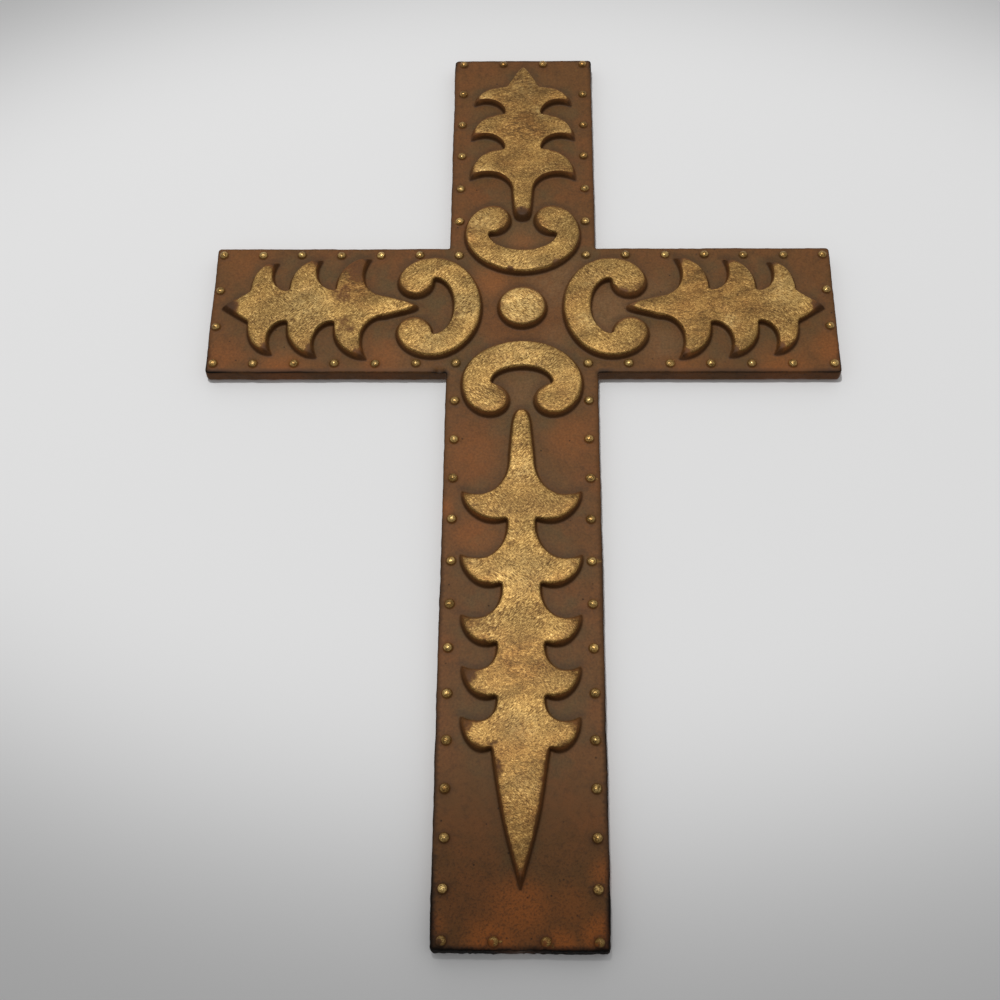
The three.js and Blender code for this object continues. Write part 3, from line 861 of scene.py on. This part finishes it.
iron = bpy.data.materials.new("bronzed_and_gilt_cast_iron")
iron.use_nodes = True
tree = iron.node_tree
tree.nodes.clear()
place = add(tree, "ShaderNodeTexCoord", {}, "Object")
mask = {name: add(tree, "ShaderNodeAttribute", {}, "Fac", attribute_name=name) for name in masks}
pattern = {}
for name, size in PATTERN_SIZES.items():
    grain = {"Vector": place, "Scale": 1 / (size * MM), "Detail": PATTERN_DETAIL,
             "Roughness": PATTERN_ROUGHNESS}
    pattern[name] = add(tree, "ShaderNodeTexNoise", grain)
brush = []
for angle, mark in [*[(angle, BRUSH_MARK) for angle in BRUSH_TURNS], (SWEEP_TURN, BRUSH_SWEEP)]:
    along = add(tree, "ShaderNodeVectorRotate", {"Vector": place, "Axis": (0, 1, 0), "Angle": angle})
    stretch = [1 / (length * MM) for length in mark]
    stretched = add(tree, "ShaderNodeVectorMath", {0: along, 1: stretch}, operation="MULTIPLY")
    brush.append(add(tree, "ShaderNodeTexNoise", {"Vector": stretched, "Scale": 1, "Detail": BRUSH_DETAIL}))

colour = linear(BROWN)
for name, under, low, high, strength, shade in COATS:
    spread = {"Value": pattern[under], "From Min": low, "From Max": high, "To Max": strength}
    share = add(tree, "ShaderNodeMapRange", spread)
    if name:
        share = add(tree, "ShaderNodeMath", {0: share, 1: mask[name]}, operation="MULTIPLY")
    colour = add(tree, inputs={0: share, 6: colour, 7: linear(shade)}, **COLOUR_MIX)
low, high, darkest, lightest = GRIT_SHADES
shading = add(tree, "ShaderNodeMapRange", {"Value": pattern["grit"], "From Min": low, "From Max": high,
                                           "To Min": darkest, "To Max": lightest})
colour = add(tree, inputs={0: GRIT_SHARE, 6: colour, 7: shading}, blend_type="MULTIPLY", **COLOUR_MIX)

low, high = CROSSED
crossed = add(tree, "ShaderNodeMapRange", {"Value": pattern["cloud"], "From Min": low, "From Max": high})
slanting = add(tree, "ShaderNodeMix", {0: crossed, 2: brush[0], 3: brush[1]})
hatch = add(tree, "ShaderNodeMix", {0: mask["dull"], 2: slanting, 3: brush[2]})
flakes = add(tree, "ShaderNodeMix", {0: HATCH_SHARE, 2: pattern["flake"], 3: hatch})
low, high = FLECKS
flecks = add(tree, "ShaderNodeMapRange", {"Value": flakes, "From Min": low, "From Max": high})
gold = [add(tree, inputs={0: flecks, 6: linear(dark), 7: linear(bright)}, **COLOUR_MIX)
        for dark, bright in zip(GOLD_DARK, GOLD_BRIGHT)]
low, high = PATCHES
patches = add(tree, "ShaderNodeMapRange",
              {"Value": pattern["mottle"], "From Min": low, "From Max": high, "To Max": PATCH_SHARE})
dulling = {0: mask["dull"], 1: DULL_SHARE, 2: patches}
dullness = add(tree, "ShaderNodeMath", dulling, operation="MULTIPLY_ADD")
gold_colour = add(tree, inputs={0: dullness, 6: gold[0], 7: gold[1]}, **COLOUR_MIX)
# Thick gold and painted highlights are lightened towards the shining gold.
low, high = DABS
dabs = add(tree, "ShaderNodeMapRange", {"Value": pattern["speckle"], "From Min": low, "From Max": high})
dabbed = add(tree, "ShaderNodeMath", {0: mask["thick_and_highlit"], 1: dabs}, operation="MULTIPLY")
shining = add(tree, "ShaderNodeMath", {0: dabbed, 1: flecks}, operation="MULTIPLY")
# Painted glints: bright marks in the gold's colour that stand in for sparkle.
low, high = GLINTS
glints = add(tree, "ShaderNodeMapRange",
             {"Value": flakes, "From Min": low, "From Max": high, "To Max": GLINT_SHARE})
undulled = add(tree, "ShaderNodeMapRange",
               {"Value": mask["dull"], "To Min": 1.0, "To Max": DULL_GLINT_SHARE})
glinting = add(tree, "ShaderNodeMath", {0: glints, 1: undulled}, operation="MULTIPLY")
shining = add(tree, "ShaderNodeMath", {0: shining, 1: glinting}, operation="MAXIMUM")
gold_colour = add(tree, inputs={0: shining, 6: gold_colour, 7: linear(GOLD_SHINING)}, **COLOUR_MIX)
low, high, darkest, lightest = SWEEP_SHADES
swept = add(tree, "ShaderNodeMapRange", {"Value": brush[-1], "From Min": low, "From Max": high,
                                         "To Min": darkest, "To Max": lightest})
gold_colour = add(tree, inputs={0: 1.0, 6: gold_colour, 7: swept}, blend_type="MULTIPLY", **COLOUR_MIX)
# Painted shade: thin dark lines where the gold is creased, drawn only in the colour.
folds = [1 / (length * MM) for length in CREASE_SIZE]
folded = add(tree, "ShaderNodeVectorMath", {0: place, 1: folds}, operation="MULTIPLY")
field = add(tree, "ShaderNodeTexNoise", {"Vector": folded, "Scale": 1, "Detail": BRUSH_DETAIL})
from_fold = add(tree, "ShaderNodeMath", {0: field, 1: NOISE_MIDDLE}, operation="SUBTRACT")
fold_gap = add(tree, "ShaderNodeMath", {0: from_fold}, operation="ABSOLUTE")
crease = add(tree, "ShaderNodeMapRange",
             {"Value": fold_gap, "From Min": CREASE_WIDTH, "From Max": 0.0, "To Max": CREASE_SHARE})
crease_shade = add(tree, "ShaderNodeMath", {0: crease, 1: mask["dull"]}, operation="MULTIPLY")
gold_colour = add(tree, inputs={0: crease_shade, 6: gold_colour, 7: linear(CREASE_SHADE_BROWN)}, **COLOUR_MIX)

left_on = {0: mask["worn_and_stud_shade"], 1: -WEAR, 2: mask["gilt"]}
thickness = add(tree, "ShaderNodeMath", left_on, operation="MULTIPLY_ADD")
low, high = THIN_PLACES
for name, depth in THINNED.items():
    thin = add(tree, "ShaderNodeMapRange",
               {"Value": pattern[name], "From Min": low, "From Max": high, "To Max": -depth})
    thickness = add(tree, "ShaderNodeMath", {0: thickness, 1: thin}, operation="ADD")
low, high = GILT
gilding = add(tree, "ShaderNodeMapRange", {"Value": thickness, "From Min": low, "From Max": high})
colour = add(tree, inputs={0: gilding, 6: colour, 7: gold_colour}, **COLOUR_MIX)

cells = {"Vector": place, "Scale": 1 / (PIT_SPACING * MM)}
pit_distance = add(tree, "ShaderNodeTexVoronoi", cells, "Distance")
pit_lot = add(tree, "ShaderNodeSeparateColor", {0: add(tree, "ShaderNodeTexVoronoi", cells, "Color")})
drawn = {0: mask["pitted"], 1: PIT_FAVOUR, 2: pit_lot}
pit_chance = add(tree, "ShaderNodeMath", drawn, operation="MULTIPLY_ADD")
pit_here = add(tree, "ShaderNodeMath", {0: pit_chance, 1: PIT_RARITY}, operation="GREATER_THAN")
pit_rim = PIT_RADIUS / PIT_SPACING
pit_spot = add(tree, "ShaderNodeMapRange", {"Value": pit_distance, "From Min": pit_rim,
                                            "From Max": PIT_FLOOR * pit_rim, "To Max": PIT_DARKNESS})
pits = add(tree, "ShaderNodeMath", {0: pit_spot, 1: pit_here}, operation="MULTIPLY")
colour = add(tree, inputs={0: pits, 6: colour, 7: linear(PIT_BLACK)}, **COLOUR_MIX)

sheen = {0: mask["polish"], 1: STUD_METALLIC, 2: GOLD_METALLIC}
shine = add(tree, "ShaderNodeMath", sheen, operation="MULTIPLY_ADD")
metallic = add(tree, "ShaderNodeMath", {0: gilding, 1: shine}, operation="MULTIPLY")
satin = add(tree, "ShaderNodeMapRange",
            {"Value": gilding, "To Min": PAINT_ROUGHNESS, "To Max": GOLD_ROUGHNESS})
smoothing = {0: mask["polish"], 1: -STUD_SMOOTHER, 2: satin}
polished = add(tree, "ShaderNodeMath", smoothing, operation="MULTIPLY_ADD")
roughness = add(tree, "ShaderNodeMath", {0: polished, 1: mask["crust"]}, operation="MAXIMUM")
flake_height = add(tree, "ShaderNodeMath", {0: flakes, 1: gilding}, operation="MULTIPLY")
coarser = {0: mask["sandy"], 1: SANDY_HEIGHT, 2: GRAIN_HEIGHT}
coarse = add(tree, "ShaderNodeMath", coarser, operation="MULTIPLY_ADD")
grains = {0: pattern["grit"], 1: coarse, 2: flake_height}
sand = add(tree, "ShaderNodeMath", grains, operation="MULTIPLY_ADD")
hollowed = add(tree, "ShaderNodeMath", {0: pits, 1: -PIT_DEPTH, 2: sand}, operation="MULTIPLY_ADD")
height = {"Height": hollowed, "Strength": GRAIN_STRENGTH, "Distance": GRAIN_DEPTH * MM}
relief = add(tree, "ShaderNodeBump", height)
finish = {"Base Color": colour, "Metallic": metallic, "Roughness": roughness, "Normal": relief,
          "Specular IOR Level": PAINT_GLOSS}
surface = add(tree, "ShaderNodeBsdfPrincipled", finish)
add(tree, "ShaderNodeOutputMaterial", {"Surface": surface})
mesh.materials.append(iron)

# Pale wall: the plain painted surface that the cross hangs against. It is seen only from its front and takes
# no part in the light on the cross, so that the back of the cross can be looked at too.
WALL_HALF = 1.5
WALL_GAP = 0.0004
WALL_WHITE = "#e4e4e4"
wall_mesh = bpy.data.meshes.new("pale_wall")
wall_plan = [(-1, -1), (1, -1), (1, 1), (-1, 1)]
wall_mesh.from_pydata([(WALL_HALF * x, WALL_GAP, WALL_HALF * z) for x, z in wall_plan], [], [(0, 1, 2, 3)])
wall = bpy.data.objects.new("pale_wall", wall_mesh)
bpy.context.collection.objects.link(wall)
wall.visible_diffuse = False
wall.visible_glossy = False
wall.visible_shadow = False
matt = bpy.data.materials.new("matt_white_wall_paint")
matt.use_nodes = True
tree = matt.node_tree
tree.nodes.clear()
from_behind = add(tree, "ShaderNodeNewGeometry", {}, "Backfacing")
white = add(tree, "ShaderNodeBsdfDiffuse", {"Color": linear(WALL_WHITE)})
clear = add(tree, "ShaderNodeBsdfTransparent", {})
one_sided = add(tree, "ShaderNodeMixShader", {0: from_behind, 1: white, 2: clear})
add(tree, "ShaderNodeOutputMaterial", {"Surface": one_sided})
wall_mesh.materials.append(matt)

# Studio: a pale surround, brighter above than below, and one soft spot from the front, a little above and to
# the left. The spot's light is drawn out sideways, and its lower edge falls across the foot of the cross.
SPOT_PLACE = Vector((-0.15, -1.5, 0.20))
SPOT_AIM = Vector((0, 0, -0.006))
ABOVE_STRENGTH = 0.7
BELOW_STRENGTH = 0.3
SURROUND_WHITE = "#f2f2f2"
SPOT_POWER = 47
SPOT_ANGLE = 20.4
SPOT_BLEND = 0.65
SPOT_RADIUS = 0.05
SPOT_STRETCH = 1.7
studio = bpy.data.worlds.new("pale_surround")
studio.use_nodes = True
tree = studio.node_tree
tree.nodes.clear()
upward = add(tree, "ShaderNodeSeparateXYZ", {0: add(tree, "ShaderNodeTexCoord", {}, "Generated")}, "Z")
strength = add(tree, "ShaderNodeMapRange",
               {"Value": upward, "From Min": -1.0, "To Min": BELOW_STRENGTH, "To Max": ABOVE_STRENGTH})
surround = add(tree, "ShaderNodeBackground", {"Color": linear(SURROUND_WHITE), "Strength": strength})
add(tree, "ShaderNodeOutputWorld", {"Surface": surround})
bpy.context.scene.world = studio
bpy.context.scene.view_settings.view_transform = "Standard"
lamp = bpy.data.lights.new("soft_spot", "SPOT")
lamp.energy = SPOT_POWER
lamp.spot_size = math.radians(SPOT_ANGLE)
lamp.spot_blend = SPOT_BLEND
lamp.shadow_soft_size = SPOT_RADIUS
spot = bpy.data.objects.new("soft_spot", lamp)
spot.location = SPOT_PLACE
spot.rotation_mode = "QUATERNION"
spot.rotation_quaternion = (SPOT_AIM - SPOT_PLACE).to_track_quat("-Z", "Y")
spot.scale = (SPOT_STRETCH, 1, 1)
bpy.context.collection.objects.link(spot)

# Camera: below the middle of the cross and close to it, looking up, as the photograph was taken. So the head
# looks smaller than the foot, and the lower edges of the plate show.
CAMERA_PLACE = Vector((2.864, -534.8, -356.8)) * MM
CAMERA_AIM = Vector((-8.64, -6.5, -91.58)) * MM
CAMERA_ROLL = math.radians(0.61)
CAMERA_SENSOR = 36
CAMERA_LENS = 53.22
lens = bpy.data.cameras.new("camera")
lens.sensor_width = CAMERA_SENSOR
lens.lens = CAMERA_LENS
camera = bpy.data.objects.new("camera", lens)
camera.location = CAMERA_PLACE
camera.rotation_mode = "QUATERNION"
level = (CAMERA_AIM - CAMERA_PLACE).to_track_quat("-Z", "Y")
camera.rotation_quaternion = level @ Quaternion((0, 0, 1), CAMERA_ROLL)
bpy.context.collection.objects.link(camera)
bpy.context.scene.camera = camera
